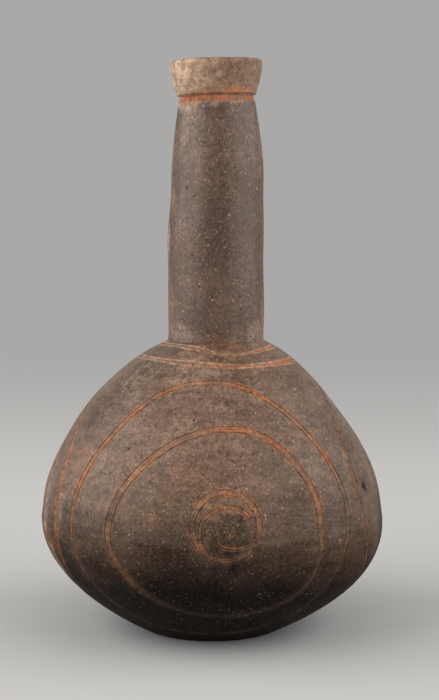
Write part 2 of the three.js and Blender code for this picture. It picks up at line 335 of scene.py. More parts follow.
def body_radius(z):
    low_share = 1 - np.clip(1 - z / WIDEST_HEIGHT, 0, 1) ** LOWER_BODY_POWER
    height = np.clip((z - WIDEST_HEIGHT) / (SHOULDER_HEIGHT - WIDEST_HEIGHT), 0, 1)
    low = lerp(FOOT_RADIUS, BODY_RADIUS, low_share)
    high = lerp(BODY_RADIUS, NECK_FOOT_RADIUS, through(SHOULDER_SHAPE, height))
    return np.where(z < WIDEST_HEIGHT, low, high)


def neck_radius(z):
    height = np.clip((z - SHOULDER_HEIGHT) / (GROOVE_FOOT - SHOULDER_HEIGHT), 0, 1)
    return lerp(NECK_FOOT_RADIUS, NECK_TOP_RADIUS, through(NECK_SHAPE, height))


class Curve:
    """A profile that can be asked for the point at a length along it."""

    def __init__(self, points):
        self.points = points
        gaps = np.linalg.norm(np.diff(self.points, axis=0), axis=1)
        self.lengths = np.append(0, np.cumsum(gaps))
        self.total = self.lengths[-1]

    def at(self, s):
        return np.stack([np.interp(s, self.lengths, along) for along in self.points.T], -1)

    def inward(self, s):
        span = self.total / 60
        ends = self.at(np.maximum(s - span, 0)), self.at(np.minimum(s + span, self.total))
        along = unit(ends[1] - ends[0])
        return np.stack([-along[..., 1], along[..., 0]], -1)


body_heights = np.linspace(0, SHOULDER_HEIGHT, 1200)
body_curve = Curve(np.stack([body_radius(body_heights), body_heights], -1))


def inside_body(s):
    return body_curve.at(s) + body_curve.inward(s) * BODY_WALL


def shaped(p):
    """Moves points of the true round shape to where the hand-built pot has them."""
    x, y, z = p[..., 0], p[..., 1], p[..., 2]
    angle = np.arctan2(y, x)
    tilt = math.tan(RIM_TILT) * smoothstep(z, BOTTLE_HEIGHT - TILTED_HEIGHT, GROOVE_FOOT)
    grow = np.clip(z / WIDEST_HEIGHT, 0, 1)
    oval = 1 + OUT_OF_ROUND * np.cos(2 * angle + z / OVAL_TURN) * grow
    shift = through(CENTRE_LINE, np.clip(z / BOTTLE_HEIGHT, 0, 1))
    return np.stack([x * oval + shift, y * oval, z + tilt * x * oval], -1)


def arc_at(z):
    """Length along the body's profile, from the foot, at a height."""
    return np.interp(z, body_heights, body_curve.lengths)


# The engraved pattern


# Each circle's line wavers this far, this often on its way round
HAND_WAVER = 0.05
HAND_WAVES = 5
# Dip of a compass line below its panel's plane, in radians, found by halving
DIP_LOW = -0.3
DIP_HIGH = 1.45
HALVINGS = 22


class Panel:
    """One panel of circles, measured like a compass: straight distance and bearing."""

    def __init__(self, degrees, circles):
        angle = math.radians(degrees)
        r = float(body_radius(PANEL_HEIGHT))
        slope = float(body_radius(PANEL_HEIGHT + 0.5) - body_radius(PANEL_HEIGHT - 0.5))
        self.centre = np.array([r * math.cos(angle), r * math.sin(angle), PANEL_HEIGHT])
        self.out = unit(np.array([math.cos(angle), math.sin(angle), -slope]))
        self.right = np.array([-math.sin(angle), math.cos(angle), 0.0])
        self.up = np.cross(self.out, self.right)
        self.circles = circles
        self.seed = int(degrees) % 97

    def local(self, p):
        """Compass distance and bearing in degrees, and the same as right and up."""
        w = p - self.centre
        across, above = w @ self.right, w @ self.up
        reach = np.linalg.norm(w, axis=-1)
        scale = reach / np.maximum(np.hypot(across, above), 1e-6)
        return reach, np.degrees(np.arctan2(above, across)), across * scale, above * scale

    def radius(self, index, bearing):
        turn = np.radians(bearing)
        own = self.seed % 7
        hand = HAND_WAVER * (1 + index) * np.sin(HAND_WAVES * turn + own + index)
        return through_round(self.circles[index][0], bearing) + hand

    def on_surface(self, reach, bearing):
        """Points of the round body at a compass distance and bearing."""
        angle = np.radians(bearing)
        direction = np.cos(angle)[..., None] * self.right + np.sin(angle)[..., None] * self.up
        low, high = np.full(reach.shape, DIP_LOW), np.full(reach.shape, DIP_HIGH)
        for _ in range(HALVINGS):
            middle = (low + high) / 2
            p = self.place(reach, direction, middle)
            beyond = np.hypot(p[..., 0], p[..., 1]) > body_radius(p[..., 2])
            beyond |= p[..., 2] < 0
            low, high = np.where(beyond, middle, low), np.where(beyond, high, middle)
        return self.place(reach, direction, (low + high) / 2)

    def place(self, reach, direction, dip):
        along = reach[..., None] * np.cos(dip)[..., None] * direction
        return self.centre + along - (reach * np.sin(dip))[..., None] * self.out


PANELS = [Panel(degrees, circles) for degrees, circles in PANELS_AT]


def spline(points):
    """A smooth line through points, in twelve steps from each to the next."""
    p = np.array(points, float)
    t = np.arange(len(p))
    fine = np.linspace(0, len(p) - 1, (len(p) - 1) * 12 + 1)
    columns = [through(np.stack([t, p[:, k]], -1), fine) for k in range(2)]
    return np.stack(columns, -1)


def offset_line(line, away):
    """The line moved to its right by a distance."""
    return line + away * rightward(line)


SCROLL_LINES = [(spline(points), spacing, red) for points, spacing, red in SCROLL]


def distance_to(line, x, y):
    """Distance from points to a line of many pieces."""
    best = np.full(x.shape, 1e9)
    for a, b in zip(line[:-1], line[1:], strict=True):
        d = b - a
        t = np.clip(((x - a[0]) * d[0] + (y - a[1]) * d[1]) / (d @ d), 0, 1)
        best = np.minimum(best, np.hypot(x - a[0] - t * d[0], y - a[1] - t * d[1]))
    return best


def beyond_band(off, spacing):
    """How far outside a band of two lines a point lies, negative between them."""
    return np.maximum(off, -spacing - off)


# The shallow bed, cut in the clay's skin, that an engraved strip fills
BED_DEPTH = 0.5
BED_EDGE = (0.32, 0.76)
# Where the pattern is looked for: above a height, and within reach of a panel's centre
BANDS_ABOVE = 100
PANEL_REACH = 74
SCROLL_REACH = 18
FAR_OUTSIDE = 9.0


def closeness(outside):
    """From 1 in a band to 0 some 3 mm outside it."""
    return np.exp(-(np.maximum(outside, 0) ** 2) / 2.0)


def beds(p):
    """Depth in mm of every strip's bed at points of the round body, and closeness to a band."""
    outside = np.full(p.shape[:-1], FAR_OUTSIDE)
    degrees = compass(p)[1]
    arc = arc_at(p[..., 2])
    high_up = p[..., 2] > BANDS_ABOVE
    for upper, lower, _ in SHOULDER_BANDS:
        top, bottom = (arc_at(through_round(t, degrees[high_up])) for t in (upper, lower))
        gap = beyond_band(arc[high_up] - top, top - bottom)
        outside[high_up] = np.minimum(outside[high_up], gap)
    for panel in PANELS:
        reach, bearing, x, y = panel.local(p)
        near = reach < PANEL_REACH
        for index, (_, spacing, _) in enumerate(panel.circles):
            off = reach[near] - panel.radius(index, bearing[near])
            outside[near] = np.minimum(outside[near], beyond_band(off, spacing))
        inside = reach < SCROLL_REACH
        if inside.any():
            for line, spacing, _ in SCROLL_LINES:
                middle = offset_line(line, spacing / 2)
                away = distance_to(middle, x[inside], y[inside]) - spacing / 2
                outside[inside] = np.minimum(outside[inside], away)
    return BED_DEPTH * (1 - smoothstep(outside, *BED_EDGE)), closeness(outside)


def patches(p, places):
    """Strength at points of a table's soft-edged patches."""
    total = np.zeros(p.shape[:-1])
    r, angle = compass(p)
    edge = PATCH_RAGGED * layered(p, PATCH_GRAIN, 41, 4)
    for degrees, z, wide, tall, strength in places:
        around = np.radians((angle - degrees + 180) % 360 - 180) * r / wide
        away = np.sqrt(around**2 + ((p[..., 2] - z) / tall) ** 2) + edge
        total = np.maximum(total, strength * (1 - smoothstep(away, *PATCH_EDGE)))
    return total


def single_marks(p):
    """Depth in mm of the single gouges and scratches."""
    depth = np.zeros(p.shape[:-1])
    for degrees, z, length, width, deep, turn in MARKS:
        angle = math.radians(degrees)
        r = float(body_radius(z)) if z < SHOULDER_HEIGHT else float(neck_radius(z))
        middle = np.array([r * math.cos(angle), r * math.sin(angle), z])
        near = np.linalg.norm(p - middle, axis=-1) < length + 2
        if not near.any():
            continue
        level = np.array([-math.sin(angle), math.cos(angle), 0.0])
        upwards = np.array([0, 0, 1.0])
        along = math.cos(math.radians(turn)) * level + math.sin(math.radians(turn)) * upwards
        w = p[near] - middle
        t = np.clip(w @ along, -(length - width) / 2, (length - width) / 2)
        away = np.linalg.norm(w - t[:, None] * along, axis=-1) / (width / 2)
        depth[near] = np.maximum(depth[near], deep * (1 - smoothstep(away, 0.2, 1.1)))
    return depth


def swell(p):
    """Height in mm of the hand-smoothed clay over the round shape."""
    height = HAND_SWELL * layered(p, HAND_SWELL_SIZE, 3, 2) + DIMPLE * noise(p, DIMPLE_SIZE, 11)
    height = height + BURNISH * noise(p, BURNISH_SIZE, 21)
    return height * smoothstep(p[..., 2], 0.0, FOOT_FADE)


def clay_marks(p):
    """What colours the clay at points: stains, pale places and painted highlights, darker patches
    and painted shade, and smeared red.
    """
    tables = {"stain": STAINS, "pale": PALE_PLACES_AND_HIGHLIGHTS, "darker_patch": DARKER_PATCHES, "pigment": SMEARS}
    return {key: patches(p, table) for key, table in tables.items()}


# Meshes


def placed(name, data):
    """A new object in the scene."""
    made = bpy.data.objects.new(name, data)
    bpy.context.scene.collection.objects.link(made)
    return made


def grid_normals(p, ring):
    """Normals of a grid of rows and columns; ring says that the columns close."""
    across = np.roll(p, -1, 1) - np.roll(p, 1, 1) if ring else np.gradient(p, axis=1)
    return unit(np.cross(across, np.gradient(p, axis=0)))


def mesh_object(name, points, faces, normals, attributes, material):
    """A shown piece in metres from points in mm; faces is a list of index arrays."""
    mesh = bpy.data.meshes.new(name)
    points = points.reshape(-1, 3)
    mesh.vertices.add(len(points))
    mesh.vertices.foreach_set("co", (points * MM).astype(np.float32).ravel())
    corners = np.concatenate([f.ravel() for f in faces]).astype(np.int32)
    sides = np.concatenate([np.full(len(f), f.shape[1]) for f in faces])
    starts = (np.cumsum(sides) - sides).astype(np.int32)
    mesh.loops.add(len(corners))
    mesh.loops.foreach_set("vertex_index", corners)
    mesh.polygons.add(len(sides))
    mesh.polygons.foreach_set("loop_start", starts)
    mesh.update(calc_edges=True)
    mesh.polygons.foreach_set("use_smooth", np.ones(len(sides), bool))
    for key, values in attributes.items():
        layer = mesh.attributes.new(key, "FLOAT", "POINT")
        layer.data.foreach_set("value", np.ascontiguousarray(values, np.float32).ravel())
    mesh.materials.append(material)
    mesh.normals_split_custom_set_from_vertices(normals.reshape(-1, 3).tolist())
    piece = placed(name, mesh)
    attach(piece, "root")
    return piece


def ring_faces(rows, columns, closed, ring=True):
    """Quads of a grid whose columns close if ring, and whose rows close if closed."""
    j = np.arange(rows if closed else rows - 1)
    i = np.arange(columns if ring else columns - 1)
    jj, ii = np.meshgrid(j, i, indexing="ij")
    nj, ni = (jj + 1) % rows, (ii + 1) % columns
    quads = [jj * columns + ii, jj * columns + ni, nj * columns + ni, nj * columns + ii]
    return np.stack(quads, -1).reshape(-1, 4)


def polar(r, angles, z):
    """Points at radii, angles and heights, which may be grids."""
    return np.stack(np.broadcast_arrays(r * np.cos(angles), r * np.sin(angles), z), -1)


def turned(profile, angles):
    """A profile turned about the axis: a row for each of its points."""
    r, z = profile.T
    return polar(r[:, None], angles, z[:, None])


def skin(name, outer, inner, columns, material, engraved=False, rough=0.0):
    """A ring of clay: its outer face worked in relief, with one spare row at each end that
    only steadies the normals, and its inner face plain."""
    angles = np.linspace(0, 2 * math.pi, columns, endpoint=False)
    rows = turned(outer, angles)
    normal = turned(rightward(outer), angles)
    pits = spots(rows, PIT_SPACING, PIT_SHARE, *PIT_RADII, 31)
    gouged = single_marks(rows)
    fade = smoothstep(rows[..., 2], 0.0, FOOT_FADE)
    height = swell(rows) - (PIT_DEPTH * pits + gouged) * fade
    height = height + rough * (layered(rows, 9.0, 61, 3) + 0.4 * noise(rows, 2.2, 67))
    depth, near = beds(rows) if engraved else (0 * pits, 0 * pits)
    steady = shaped(rows + normal * height[..., None])
    worked = shaped(rows + normal * (height - depth)[..., None])[1:-1]
    back = shaped(turned(inner, angles))
    points = np.concatenate([worked, back])
    normals = np.concatenate([grid_normals(steady, True)[1:-1], grid_normals(back, True)])
    marks = {"pits": np.maximum(pits, 1.4 * gouged), "near_line": near, **clay_marks(rows)}
    clean = np.zeros(back.shape[:2])
    marks = {key: np.concatenate([values[1:-1], clean]) for key, values in marks.items()}
    faces = [ring_faces(len(points), columns, True)]
    piece = mesh_object(name + "_skin", points, faces, normals, marks, material)
    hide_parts(name)


def steps(a, b, step):
    """Even steps of about a length, both ends included."""
    return np.linspace(a, b, max(2, int(round(abs(b - a) / step)) + 1))


def with_spare_rows(curve_at, a, b, low, high):
    """Samples from a to b with one more beyond each end, kept inside low to high."""
    s = steps(a, b, FINE)
    gap = s[1] - s[0]
    return curve_at(np.concatenate([[max(a - gap, low)], s, [min(b + gap, high)]]))


# How fine the faces are: spacing of rows, and number of columns round the body and the neck
FINE = 0.4
COLUMNS = 1120
NECK_COLUMNS = 400
STRIP_STEP = 0.13
INNER_STEP = 4.0


# Materials


def feed(tree, made, inputs):
    """Links or sets inputs of a node. A colour is three numbers, linear."""
    for key, value in inputs.items():
        socket = made.inputs[key]
        if isinstance(value, bpy.types.NodeSocket):
            tree.links.new(value, socket)
        else:
            socket.default_value = (*value, 1.0) if socket.type == "RGBA" else value


def node(tree, kind, inputs, **settings):
    made = tree.nodes.new("ShaderNode" + kind)
    for key, value in settings.items():
        setattr(made, key, value)
    feed(tree, made, inputs)
    return made


def maths(tree, operation, a, b=0.0, clamp=False):
    return node(tree, "Math", {0: a, 1: b}, operation=operation, use_clamp=clamp).outputs[0]


def plus(tree, a, *rest):
    for b in rest:
        a = maths(tree, "ADD", a, b)
    return a


def times(tree, a, *rest):
    for b in rest:
        a = maths(tree, "MULTIPLY", a, b)
    return a


def ramp(tree, value, low, high, out_low=0.0, out_high=1.0):
    inputs = {0: value, 1: low, 2: high, 3: out_low, 4: out_high}
    return node(tree, "MapRange", inputs, interpolation_type="SMOOTHSTEP").outputs[0]


def mix(tree, share, a, b, blend="MIX"):
    """b over a by share."""
    return node(tree, "Mix", {0: share, 6: a, 7: b}, data_type="RGBA", blend_type=blend).outputs[2]


def darkened(tree, share, colour, by):
    return mix(tree, share, colour, mix(tree, 1.0, colour, by, "MULTIPLY"))


def uneven(tree, value, amount):
    """A factor about 1 from a noise."""
    return ramp(tree, value, 0.3, 0.7, 1 - amount, 1 + amount)


def texture(tree, where, size, detail, rough, stretch):
    """Noise from 0 to 1 with features of a size in mm."""
    mapped = node(tree, "Mapping", {"Vector": where, "Scale": stretch}).outputs[0]
    inputs = {"Vector": mapped, "Scale": 1 / (size * MM), "Detail": detail, "Roughness": rough}
    return node(tree, "TexNoise", inputs).outputs[0]


def grains(tree, where, spacing, share, low, high):
    """Ragged grains of radius low to high, from faint to strong, with a random value for each."""
    cells = node(tree, "TexVoronoi", {"Vector": where, "Scale": 1 / (spacing * MM)})
    chance = node(tree, "SeparateColor", {0: cells.outputs["Color"]})
    radius = ramp(tree, chance.outputs[1], 0.0, 1.0, low / spacing, high / spacing)
    inside = ramp(tree, maths(tree, "SUBTRACT", radius, cells.outputs["Distance"]), -0.02, 0.13)
    strength = ramp(tree, chance.outputs[0], 0.0, share, 1.0, 0.0)
    return times(tree, inside, strength), chance.outputs[2]


def vectors(tree, operation, inputs):
    return node(tree, "VectorMath", inputs, operation=operation)


def ragged(tree, where):
    """The place moved about by up to about 0.3 mm, so that grains get uneven edges."""
    inputs = {"Vector": where, "Scale": 1 / (RAGGED_SIZE * MM), "Detail": 2.0}
    push = node(tree, "TexNoise", inputs).outputs["Color"]
    centred = vectors(tree, "SUBTRACT", {0: push, 1: (0.5, 0.5, 0.5)}).outputs[0]
    moved = vectors(tree, "SCALE", {0: centred, "Scale": RAGGED_PUSH * MM}).outputs[0]
    return vectors(tree, "ADD", {0: where, 1: moved}).outputs[0]


def attribute(tree, name):
    return node(tree, "Attribute", {}, attribute_name=name).outputs["Fac"]


def new_material(name):
    """A material with its node tree and shader."""
    material = bpy.data.materials.new(name)
    material.use_nodes = True
    return material, material.node_tree, material.node_tree.nodes["Principled BSDF"]


OCHRE = (0.36, 0.165, 0.07)
BUFF = (0.62, 0.43, 0.3)
TAN = (0.38, 0.19, 0.105)
RED = (0.52, 0.15, 0.066)
# Painted shade in the engraved lines
GROOVE_SHADE = (0.06, 0.03, 0.018)
# Painted shade in pores, pits and gouges
PORE_SHADE = (0.03, 0.02, 0.014)
PIT_SHADE = (0.02, 0.013, 0.009)
# Painted shade of the underside: the factor by which the clay darkens towards the bottom
UNDERSIDE_SHADE = (0.018, 0.014, 0.011)
DARKER_PATCH_TONE = (0.42, 0.38, 0.36)
WARM = (1.0, 0.87, 0.8)
GRIT_TONES = (0.4, 0.24, 0.13), (0.62, 0.46, 0.3)
SMALL_GRIT_TONES = (0.32, 0.18, 0.095), (0.5, 0.37, 0.25)

# Grains: spacing, share of the places that hold one, and lowest and highest radius
GRIT = (1.7, 0.95, 0.2, 0.52)
SMALL_GRIT = (0.95, 1.0, 0.16, 0.34)
PORES = (1.6, 0.75, 0.2, 0.5)
RAGGED_SIZE = 0.9
RAGGED_PUSH = 1.3
BUMP_HEIGHT = 0.13

# Heights between which the painted shade of the underside sets in, and how far its edge wanders
UNDERSIDE_SHADE_TOP = 77
UNDERSIDE_SHADE_FULL = 26
UNDERSIDE_SHADE_WANDER = 40

# Unevenness of the clay: size of its features, detail and roughness
NOISES = {
    "cloud": (42.0, 4.0, 0.6),
    "blotch": (9.0, 4.0, 0.6),
    "speckle": (3.2, 4.0, 0.7),
    "stroke": (4.5, 4.0, 0.65),
    "fine": (1.4, 3.0, 0.75),
    "tiny": (0.7, 2.0, 0.7),
}


def stained(tree, light, dark, noises, pale):
    """Colour of the bare clay with its stains, pale places and painted highlights, and darker
    patches and painted shade.
    """
    blotch, speckle = noises["blotch"], noises["speckle"]
    colour = mix(tree, ramp(tree, noises["cloud"], 0.32, 0.68), dark, light)
    colour = mix(tree, ramp(tree, blotch, 0.42, 0.72, 0.0, 0.6), colour, dark)
    ochre = times(tree, attribute(tree, "stain"), ramp(tree, blotch, 0.2, 0.6, 0.5, 0.9))
    colour = mix(tree, ochre, colour, OCHRE)
    # Pale places: worn ones, and painted highlights and sheen
    colour = mix(tree, pale, colour, BUFF)
    # Darker patches, among them painted shade under the collar's lower edge
    darker_patch = times(tree, attribute(tree, "darker_patch"), ramp(tree, speckle, 0.3, 0.62, 1.0, 0.35))
    return darkened(tree, darker_patch, colour, DARKER_PATCH_TONE)


def inlaid(tree, colour, red, cut, speckle):
    """Tan clay and red in and beside the lines, and painted shade in the lines."""
    smear = times(tree, attribute(tree, "near_line"), ramp(tree, speckle, 0.38, 0.66), 0.4)
    colour = mix(tree, smear, colour, TAN)
    colour = mix(tree, ramp(tree, red, 0.04, 0.55, 0.0, 0.92), colour, TAN)
    vivid = times(tree, ramp(tree, red, 0.4, 0.95), ramp(tree, speckle, 0.3, 0.6, 0.55, 1.0))
    colour = mix(tree, vivid, colour, RED)
    return mix(tree, times(tree, cut, 0.75), colour, GROOVE_SHADE)


def grain_bump(tree, noises, pores, grit):
    """Normals for grain, burnishing strokes, sunken pores and standing grit."""
    surface = plus(tree, times(tree, noises["fine"], 0.6), times(tree, noises["tiny"], 0.35))
    surface = maths(tree, "SUBTRACT", surface, times(tree, pores, 0.8))
    surface = plus(tree, surface, times(tree, grit, 0.3), times(tree, noises["stroke"], 0.7))
    inputs = {"Strength": 0.55, "Distance": BUMP_HEIGHT * MM, "Height": surface}
    return node(tree, "Bump", inputs).outputs[0]


def fired_clay(name, light, dark, specular, grit_share=0.85, upright=False, grain=1.0):
    """Burnished low-fired clay with grit, pores, stains, and red in its lines, with painted shade
    in its lines, pores and pits and on its underside.
    """
    material, tree, shader = new_material(name)
    where = node(tree, "TexCoord", {}).outputs["Object"]
    height = node(tree, "SeparateXYZ", {0: where}).outputs[2]
    pits, cut, red = (attribute(tree, key) for key in ("pits", "cut", "pigment"))
    stretch = {"stroke": (1, 1, 0.2) if upright else (0.3, 0.3, 1.6)}
    noises = {key: texture(tree, where, *row, stretch.get(key, (1, 1, 1)))
              for key, row in NOISES.items()}
    speckle = noises["speckle"]
    pale = times(tree, attribute(tree, "pale"), ramp(tree, speckle, 0.3, 0.6, 0.35, 1.0))
    colour = inlaid(tree, stained(tree, light, dark, noises, pale), red, cut, speckle)
    amounts = {"fine": 0.24 * grain, "tiny": 0.18 * grain, "stroke": 0.18, "speckle": 0.2}
    shade = times(tree, *(uneven(tree, noises[key], amount) for key, amount in amounts.items()))
    colour = mix(tree, 1.0, colour, shade, "MULTIPLY")
    shaken = ragged(tree, where)
    grit, tint = grains(tree, shaken, *GRIT)
    small, small_tint = grains(tree, shaken, *SMALL_GRIT)
    pores, _ = grains(tree, shaken, *PORES)
    colour = mix(tree, times(tree, grit, grit_share), colour, mix(tree, tint, *GRIT_TONES))
    tones = mix(tree, small_tint, *SMALL_GRIT_TONES)
    colour = mix(tree, times(tree, small, grit_share), colour, tones)
    # Painted shade in the sunken pores, pits and gouges
    colour = mix(tree, times(tree, pores, 1.6 if upright else 0.9), colour, PORE_SHADE)
    colour = mix(tree, times(tree, pits, 0.85), colour, PIT_SHADE)
    # Painted shade: the clay darker towards the bottom, sparing grit, red and pale places
    wander = times(tree, maths(tree, "SUBTRACT", noises["cloud"], 0.5), UNDERSIDE_SHADE_WANDER * MM)
    underside_shade = ramp(tree, plus(tree, height, wander), UNDERSIDE_SHADE_TOP * MM, UNDERSIDE_SHADE_FULL * MM)
    specks = times(tree, plus(tree, grit, small), 0.26)
    spared = maths(tree, "ADD", plus(tree, times(tree, red, 0.4), pale), specks, True)
    underside_shade = times(tree, underside_shade, maths(tree, "SUBTRACT", 1.0, spared))
    dull = plus(tree, times(tree, plus(tree, pits, cut, red), 0.35), times(tree, underside_shade, 0.35))
    sheen = ramp(tree, noises["blotch"], 0.2, 0.8, 0.32, 0.44)
    feed(tree, shader, {
        "Base Color": darkened(tree, underside_shade, colour, UNDERSIDE_SHADE),
        "Roughness": maths(tree, "ADD", sheen, dull, True),
        "Specular IOR Level": specular,
        "Specular Tint": WARM,
        "Normal": grain_bump(tree, noises, pores, grit),
    })
    return material


# Lighter and darker tone of each clay
BODY_TONES = (0.24, 0.147, 0.1), (0.153, 0.091, 0.061)
NECK_TONES = (0.144, 0.084, 0.06), (0.094, 0.053, 0.037)
COLLAR_TONES = (0.39, 0.235, 0.148), (0.245, 0.144, 0.093)
# The lower coils have less sheen, so that the painted shade of the underside stays dark
DARK_CLAY = fired_clay("low_sheen_underside_clay", *BODY_TONES, 0.15)
GREY_CLAY = fired_clay("burnished_clay", *BODY_TONES, 0.36)
NECK_CLAY = fired_clay("burnished_neck_clay", *NECK_TONES, 0.72, 0.7, True, 1.2)
BUFF_CLAY = fired_clay("worn_buff_clay", *COLLAR_TONES, 0.4, 0.5, False, 0.7)
PIGMENT = fired_clay("red_in_the_lines", *BODY_TONES, 0.3, 0.5)


# The clay pieces


ring_length = (body_curve.total - FIRST_SEAM) / BODY_RINGS
throat_length = body_curve.total - THROAT_LEDGE
bore_foot = np.array([NECK_FOOT_RADIUS - NECK_WALL, inside_body(throat_length)[1] + THROAT_RISE])
bore_top = np.array([GROOVE_RADIUS - COLLAR_WALL, COLLAR_FOOT + SEAM_LAP])

# How near to the axis the foot's faces begin, and how near to its edge the underside ends
AXIS_GAP = 0.02
EDGE_GAP = 0.6
# How many coils take the less shiny clay under the painted shade of the underside, and the curves
# of the collar
DARK_RINGS = 3
COLLAR_FLARE = 1.15
MOUTH_FLARE = 1.3
LIP_SQUARENESS = 0.7
LIP_PINCH = 0.08


def seam_at(i):
    return FIRST_SEAM + i * ring_length


def body_outside(a, b):
    return with_spare_rows(body_curve.at, a, b, 0, body_curve.total)


def base():
    """The foot, from the middle of its underside out and up to the first seam."""
    under = np.linspace((AXIS_GAP, 0), (FOOT_RADIUS - EDGE_GAP, 0), 24)
    up = body_curve.at(steps(0, seam_at(0), FINE))
    spare = body_curve.at(seam_at(0) + FINE)
    outer = np.concatenate([under[:1], under, up, [spare]])
    inner = np.array([inside_body(seam_at(0) - SEAM_LAP), (FOOT_RADIUS * 0.6, FLOOR_THICKNESS),
                      (AXIS_GAP, FLOOR_THICKNESS)])
    skin("base_disc", outer, inner, COLUMNS, DARK_CLAY, True)


def body_ring(i):
    material, slot = (DARK_CLAY, "dark_clay") if i < DARK_RINGS else (GREY_CLAY, "grey_clay")
    inner = inside_body(steps(seam_at(i + 1) - SEAM_LAP, seam_at(i) - SEAM_LAP, INNER_STEP))
    outer = body_outside(seam_at(i), seam_at(i + 1))
    skin(f"body_ring_{i + 1}", outer, inner, COLUMNS, material, True)


def shoulder():
    foot = seam_at(BODY_RINGS - 1)
    inner = inside_body(steps(throat_length, foot - SEAM_LAP, INNER_STEP))
    inner = np.concatenate([[bore_foot], inner])
    outer = body_outside(foot, body_curve.total)
    skin("shoulder_ring", outer, inner, COLUMNS, GREY_CLAY, True)


def bore(z):
    height = (z - bore_foot[1]) / (bore_top[1] - bore_foot[1])
    return np.stack([lerp(bore_foot[0], bore_top[0], height**3), z], -1)


def neck_point(z):
    return np.stack([neck_radius(z), z], -1)


def neck_seam(i):
    return lerp(SHOULDER_HEIGHT, COLLAR_FOOT, i / NECK_RINGS)


def bore_seam(i):
    if i == 0:
        return bore_foot[1]
    return bore_top[1] if i == NECK_RINGS else neck_seam(i) - SEAM_LAP


def neck_ring(i):
    top = i == NECK_RINGS - 1
    a, b = neck_seam(i), GROOVE_FOOT if top else neck_seam(i + 1)
    outer = with_spare_rows(neck_point, a, b, SHOULDER_HEIGHT, GROOVE_FOOT)
    if top:
        cut = [(NECK_TOP_RADIUS - 0.1, GROOVE_FOOT + 0.05),
               (GROOVE_RADIUS + 0.1, GROOVE_FOOT + 0.28)]
        floor = [(GROOVE_RADIUS, z) for z in np.linspace(GROOVE_FOOT + 0.4, COLLAR_FOOT, 7)]
        outer = np.concatenate([outer[:-1], cut, floor, floor[-1:]])
    inner = bore(steps(bore_seam(i + 1), bore_seam(i), INNER_STEP / 2))
    skin(f"neck_ring_{i + 1}", outer, inner, NECK_COLUMNS, NECK_CLAY)


def collar():
    lip_foot = BOTTLE_HEIGHT - LIP_ROUNDING
    mouth = LIP_RADIUS - COLLAR_WALL
    share = np.linspace(0, 1, 36)
    flare = np.sin(share * math.pi / 2) ** COLLAR_FLARE
    radii = lerp(COLLAR_FOOT_RADIUS, LIP_RADIUS, flare)
    outside = np.stack([radii, lerp(COLLAR_FOOT, lip_foot, share)], -1)
    half = np.linspace(0, math.pi, 14)[1:-1]
    middle, reach = (LIP_RADIUS + mouth) / 2, (LIP_RADIUS - mouth) / 2
    lip = np.stack([middle + reach * np.cos(half) * (1 - LIP_PINCH * np.sin(half)),
                    lip_foot + LIP_ROUNDING * np.sin(half) ** LIP_SQUARENESS], -1)
    share = np.linspace(1, 0, 30)
    radii = lerp(bore_top[0], mouth, share**MOUTH_FLARE)
    inside = np.stack([radii, lerp(bore_top[1], lip_foot, share)], -1)
    ledge = [(GROOVE_RADIUS, COLLAR_FOOT), (COLLAR_FOOT_RADIUS - 0.5, COLLAR_FOOT - 0.02)]
    outer = np.concatenate([ledge[:1], ledge, outside, lip, inside, inside[-1:]])
    seam = np.array([lerp(bore_top, np.array([GROOVE_RADIUS, COLLAR_FOOT]), 0.5)])
    inner = np.repeat(seam, 2, 0)
    skin("rim_collar", outer, inner, NECK_COLUMNS, BUFF_CLAY, rough=0.2)


base()
for i in range(BODY_RINGS - 1):
    body_ring(i)
shoulder()
for i in range(NECK_RINGS):
    neck_ring(i)
collar()


# The engraved bands: strips that lie in beds in the skin and hold the red


# How far a strip runs past its lines, how thick it is, and where and how far its edges dive
STRIP_EDGE = 0.95
STRIP_BODY = 0.62
DIVE_FROM = 0.6
DIVE = 0.17
# Beside a line: where its raised flank lies and how wide it is, and how far red is smeared
FLANK_AT = 0.48
FLANK_WIDTH = 0.24
SMEAR_REACH = 0.6
# How deep the clay between two lines lies, and how high the flanks and the streaks stand
SUNK = 0.04
FLANK_HEIGHT = 0.06
STREAK_HEIGHT = 0.03
# How far from a line it is worn pale, how much wider its shade is, and how wide a bold line is
WORN_REACH = 0.52
SHADE_WIDTH = 1.7
BOLD = 1.25


def outward(p):
    """Outward direction of the round body at its points."""
    z = p[..., 2]
    slope = body_radius(z + 0.3) - body_radius(np.maximum(z - 0.3, 0))
    slope = slope / (0.3 + np.minimum(z, 0.3))
    r = np.hypot(p[..., 0], p[..., 1])
    return unit(np.stack([p[..., 0] / r, p[..., 1] / r, -slope], -1))


def scored(off, wander, width=LINE_WIDTH):
    """Share of full depth of an engraved line."""
    return 1 - smoothstep(np.abs(off + wander) / (width / 2), 0.2, 1.0)


def closed_strip(name, top, bottom, normals, marks, ring, replaced):
    """A solid ribbon from its top points and the two edges of its underside."""
    points = np.concatenate([top, bottom[-1:], bottom[:1]])
    under = np.concatenate([normals, -normals[-1:], -normals[:1]])
    marks = {key: np.concatenate([v, v[-1:], v[:1]]) for key, v in marks.items()}
    rows, columns = points.shape[:2]
    faces = [ring_faces(rows, columns, True, ring)]
    if not ring:
        ends = np.arange(rows) * columns
        faces += [ends[None, :], (ends + columns - 1)[None, ::-1]]
    piece = mesh_object(name, points, faces, under, marks, PIGMENT)
    if replaced:
        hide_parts(*replaced)


